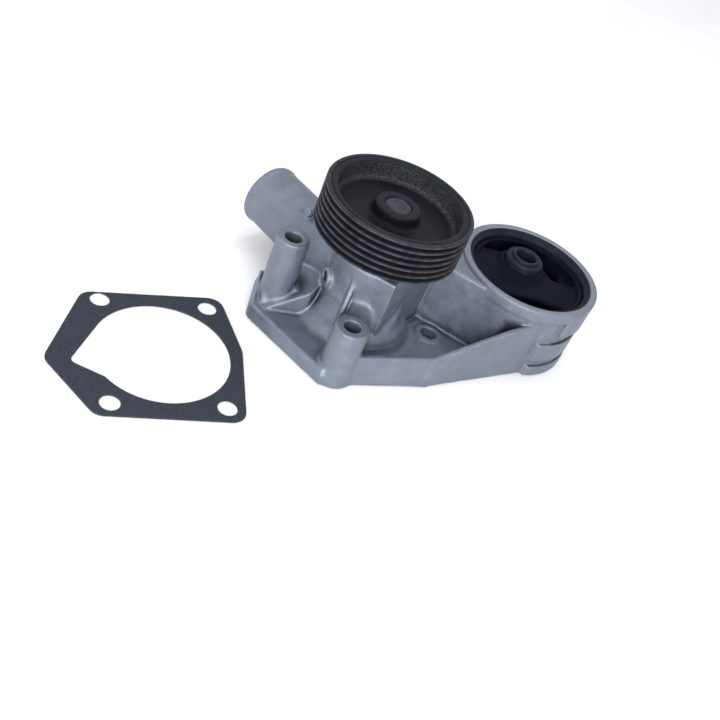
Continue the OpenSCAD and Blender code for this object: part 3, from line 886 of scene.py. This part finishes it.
def pulley_coat():
    """Thin dark coat on a turned and part-cast pulley, rubbed bright on its crests, with a painted
    highlight along the top of the rim by its outer edge.
    """
    s = Shader("pulley_coat")
    rings = s.noise(0.35, 2, vector=s.rings((0, 0)))
    grain = s.noise(0.8, 4, 0.65)
    cloud = s.noise(9, 3)
    colour = s.ramp(cloud, [(0.3, (0.004, 0.005, 0.007)), (0.55, (0.007, 0.0075, 0.010)),
                            (0.75, (0.013, 0.012, 0.012))])
    colour = s.mix(s.spread(rings, 0.35, 0.7, 0, 0.3), colour, (0.018, 0.019, 0.022))
    cast = s.value("cast")
    colour = s.mix(s.math("MULTIPLY", cast, s.spread(grain, 0.4, 0.62, 0, 0.8)), colour,
                   (0.085, 0.087, 0.095))
    # Lighter where the crests are rubbed and where the rim's top edge carries a painted highlight.
    rim_rub_and_highlight = s.value("rim_rub_and_highlight")
    patchy_rub_and_highlight = s.math("MULTIPLY", rim_rub_and_highlight, s.spread(s.noise(4, 4), 0.35, 0.6, 0.25, 0.8))
    colour = s.mix(patchy_rub_and_highlight, colour, (0.055, 0.058, 0.068))
    roughness = s.spread(grain, 0.3, 0.7, 0.36, 0.52)
    height = s.math("ADD", s.math("MULTIPLY", rings, 0.5),
                    s.math("MULTIPLY", grain, s.spread(cast, 0, 1, 0.25, 3.5)))
    return s.finish(colour, roughness, s.bump(height, 0.6, 0.14), metallic=0.0, specular=0.13,
                    tint=(0.70, 0.82, 1.0))


def moulded_rubber():
    s = Shader("moulded_rubber")
    grain = s.noise(1.1, 3)
    cloud = s.noise(12, 3)
    colour = s.ramp(cloud, [(0.3, (0.002, 0.0025, 0.005)), (0.7, (0.004, 0.005, 0.009))])
    # Edges lighten towards a bluish grey: partly dust, partly a painted sheen.
    dust_and_sheen = s.spread(s.value("edge"), 0.4, 1.0, 0, 0.35)
    colour = s.mix(dust_and_sheen, colour, (0.035, 0.038, 0.050))
    roughness = s.spread(grain, 0.3, 0.7, 0.48, 0.66)
    return s.finish(colour, roughness, s.bump(grain, 0.35, 0.08), specular=0.07,
                    tint=(0.65, 0.78, 1.0))


def dark_metal(name, centre, colours, rough, metallic):
    """Turned metal with fine ring marks about its own axis."""
    s = Shader(name)
    rings = s.noise(0.3, 2, vector=s.rings(centre))
    cloud = s.noise(5, 4)
    colour = s.ramp(cloud, [(0.3, colours[0]), (0.7, colours[1])])
    colour = s.mix(s.spread(rings, 0.4, 0.7, 0, 0.3), colour, tuple(1.5 * c for c in colours[1]))
    roughness = s.spread(cloud, 0.3, 0.7, rough - 0.08, rough + 0.08)
    return s.finish(colour, roughness, s.bump(rings, 0.4, 0.05), metallic=metallic,
                    specular=0.14, tint=(0.70, 0.82, 1.0))


def gasket_sheet():
    """Pressed fibre sheet: felted flecks in dark blue-grey."""
    s = Shader("gasket_sheet")
    fibre = s.noise(0.7, 5, 0.7, stretch=(1, 2.4, 1))
    cross = s.noise(1.6, 4, 0.6, stretch=(2.2, 1, 1))
    tone = s.math("ADD", s.math("MULTIPLY", fibre, 0.6), s.math("MULTIPLY", cross, 0.4))
    colour = s.ramp(tone, [(0.32, (0.012, 0.016, 0.025)), (0.5, (0.021, 0.026, 0.039)),
                           (0.66, (0.045, 0.053, 0.072))])
    roughness = s.spread(tone, 0.3, 0.7, 0.72, 0.9)
    return s.finish(colour, roughness, s.bump(tone, 0.5, 0.10), specular=0.3)


def plain_inner(name, colour_a, colour_b, rough, metallic=0.0, size=3.0):
    """Two-tone noise finish for the sealed pieces inside the neck."""
    s = Shader(name)
    cloud = s.noise(size, 4)
    colour = s.ramp(cloud, [(0.35, colour_a), (0.65, colour_b)])
    roughness = s.spread(cloud, 0.3, 0.7, rough - 0.07, rough + 0.07)
    return s.finish(colour, roughness, s.bump(cloud, 0.25, 0.05), metallic=metallic)


def dress(obj, material, body, slot, *nodes):
    """Gives a new piece its material and body, and hides the CAD nodes that it stands for."""
    obj.data.materials.append(material)
    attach(obj, body)
    if nodes:
        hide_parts(*nodes)


def give(node, material):
    obj = frame["nodes"][node]
    obj.data.materials.clear()
    obj.data.materials.append(material)


dress(housing_piece(), cast_aluminium(), "housing", "cast_aluminium", "pump_housing")
dress(pulley_piece(), pulley_coat(), "rotor", "pulley_coat", "pulley")
shaft_steel = dark_metal("shaft_steel", (0, 0),
                         ((0.030, 0.031, 0.036), (0.055, 0.056, 0.062)), 0.42, 0.5)
dress(shaft_piece(), shaft_steel, "rotor", "bearing_steel", "shaft")
dress(rubber_piece(), moulded_rubber(), "housing", "black_rubber", "mount_rubber")
mount_metal = dark_metal("mount_metal", (CORE_X, CORE_Y),
                         ((0.010, 0.011, 0.015), (0.022, 0.024, 0.031)), 0.5, 0.3)
dress(core_piece(), mount_metal, "mount_centre", "mount_metal", "mount_core")
dress(inner_sleeve_piece(), mount_metal, "mount_centre", "bearing_steel", "mount_inner_sleeve")
sleeve_metal = dark_metal("sleeve_metal", (EYE_X, EYE_Y),
                          ((0.006, 0.007, 0.010), (0.014, 0.016, 0.022)), 0.5, 0.2)
dress(outer_sleeve_piece(), sleeve_metal, "housing", "mount_metal", "mount_outer_sleeve")
dress(gasket_piece(), gasket_sheet(), "loose_gasket", "gasket_paper", "gasket")

bright_steel = plain_inner("ground_steel", (0.42, 0.43, 0.45), (0.56, 0.57, 0.59), 0.3, 0.9)
seal_rubber = plain_inner("seal_rubber", (0.012, 0.012, 0.014), (0.03, 0.03, 0.034), 0.6)
polymer = plain_inner("cage_polymer", (0.30, 0.24, 0.13), (0.42, 0.34, 0.20), 0.5)
brass = plain_inner("seal_brass", (0.55, 0.44, 0.20), (0.66, 0.55, 0.30), 0.35, 0.9)
carbon = plain_inner("seal_carbon", (0.03, 0.03, 0.033), (0.06, 0.06, 0.065), 0.4)
ceramic = plain_inner("seal_ceramic", (0.70, 0.69, 0.64), (0.80, 0.79, 0.75), 0.3)
iron = plain_inner("impeller_iron", (0.09, 0.085, 0.08), (0.18, 0.165, 0.15), 0.6, 0.6)
for name, material in {
    "bearing_outer_race": bright_steel, "balls_front": bright_steel, "balls_rear": bright_steel,
    "seal_spring": bright_steel, "slinger": iron, "bearing_seal_front": seal_rubber,
    "bearing_seal_rear": seal_rubber, "seal_bellows": seal_rubber, "seal_seat_boot": seal_rubber,
    "cage_front": polymer, "cage_rear": polymer, "seal_cup": brass, "seal_carbon_ring": carbon,
    "seal_ceramic_ring": ceramic, "impeller": iron,
}.items():
    give(name, material)

# ---------------------------------------------------------------- floor, light and camera

CAMERA_AT = Vector((0.2468, -0.3572, 0.3281))
CAMERA_AIM = Vector((0.0239, -0.0122, 0.0))
CAMERA_ROLL = math.radians(24.0)
LENS_MM = 50.25
FLOOR_SIZE = 8.0


def floor_piece():
    bm = bmesh.new()
    bmesh.ops.create_grid(bm, x_segments=2, y_segments=2, size=FLOOR_SIZE / 2)
    mesh = bpy.data.meshes.new("studio_floor")
    bm.to_mesh(mesh)
    bm.free()
    floor = bpy.data.objects.new("studio_floor", mesh)
    floor.location.z = -0.0002
    bpy.context.scene.collection.objects.link(floor)
    s = Shader("studio_floor")
    tone = s.noise(60, 2)
    colour = s.ramp(tone, [(0.3, (0.86, 0.865, 0.875)), (0.7, (0.89, 0.893, 0.90))])
    roughness = s.spread(tone, 0.3, 0.7, 0.75, 0.85)
    floor.data.materials.append(s.finish(colour, roughness, s.bump(tone, 0.02, 0.1)))


def soft_box(name, at, aim, size, power, colour=(1, 1, 1)):
    light = bpy.data.lights.new(name, "AREA")
    light.shape = "RECTANGLE"
    light.size, light.size_y = size
    light.energy = power
    light.color = colour
    obj = bpy.data.objects.new(name, light)
    obj.location = at
    obj.rotation_euler = (Vector(aim) - Vector(at)).to_track_quat("-Z", "Y").to_euler()
    bpy.context.scene.collection.objects.link(obj)


def studio():
    world = bpy.data.worlds.new("studio")
    world.use_nodes = True
    background = world.node_tree.nodes["Background"]
    background.inputs["Color"].default_value = (0.95, 0.97, 1.0, 1)
    background.inputs["Strength"].default_value = 0.82
    bpy.context.scene.world = world
    middle = (0.02, 0.03, 0.03)
    soft_box("front", (0.62, -0.80, 0.42), middle, (0.8, 0.5), 13)
    soft_box("left", (-0.7, -0.5, 0.5), middle, (0.5, 0.5), 0.8)
    soft_box("top", (0.0, 0.25, 1.1), middle, (0.9, 0.9), 5)


def camera():
    data = bpy.data.cameras.new("camera")
    data.lens = LENS_MM
    data.sensor_width = 36.0
    data.clip_start = 0.01
    forward = (CAMERA_AIM - CAMERA_AT).normalized()
    level = forward.cross(Vector((0, 0, 1))).normalized()
    upright = level.cross(forward)
    right = level * math.cos(CAMERA_ROLL) + upright * math.sin(CAMERA_ROLL)
    up = right.cross(forward)
    obj = bpy.data.objects.new("camera", data)
    turn = Matrix((right, up, -forward)).transposed()
    obj.matrix_world = Matrix.Translation(CAMERA_AT) @ turn.to_4x4()
    bpy.context.scene.collection.objects.link(obj)
    bpy.context.scene.camera = obj


floor_piece()
studio()
camera()
bpy.context.scene.view_settings.view_transform = "Standard"
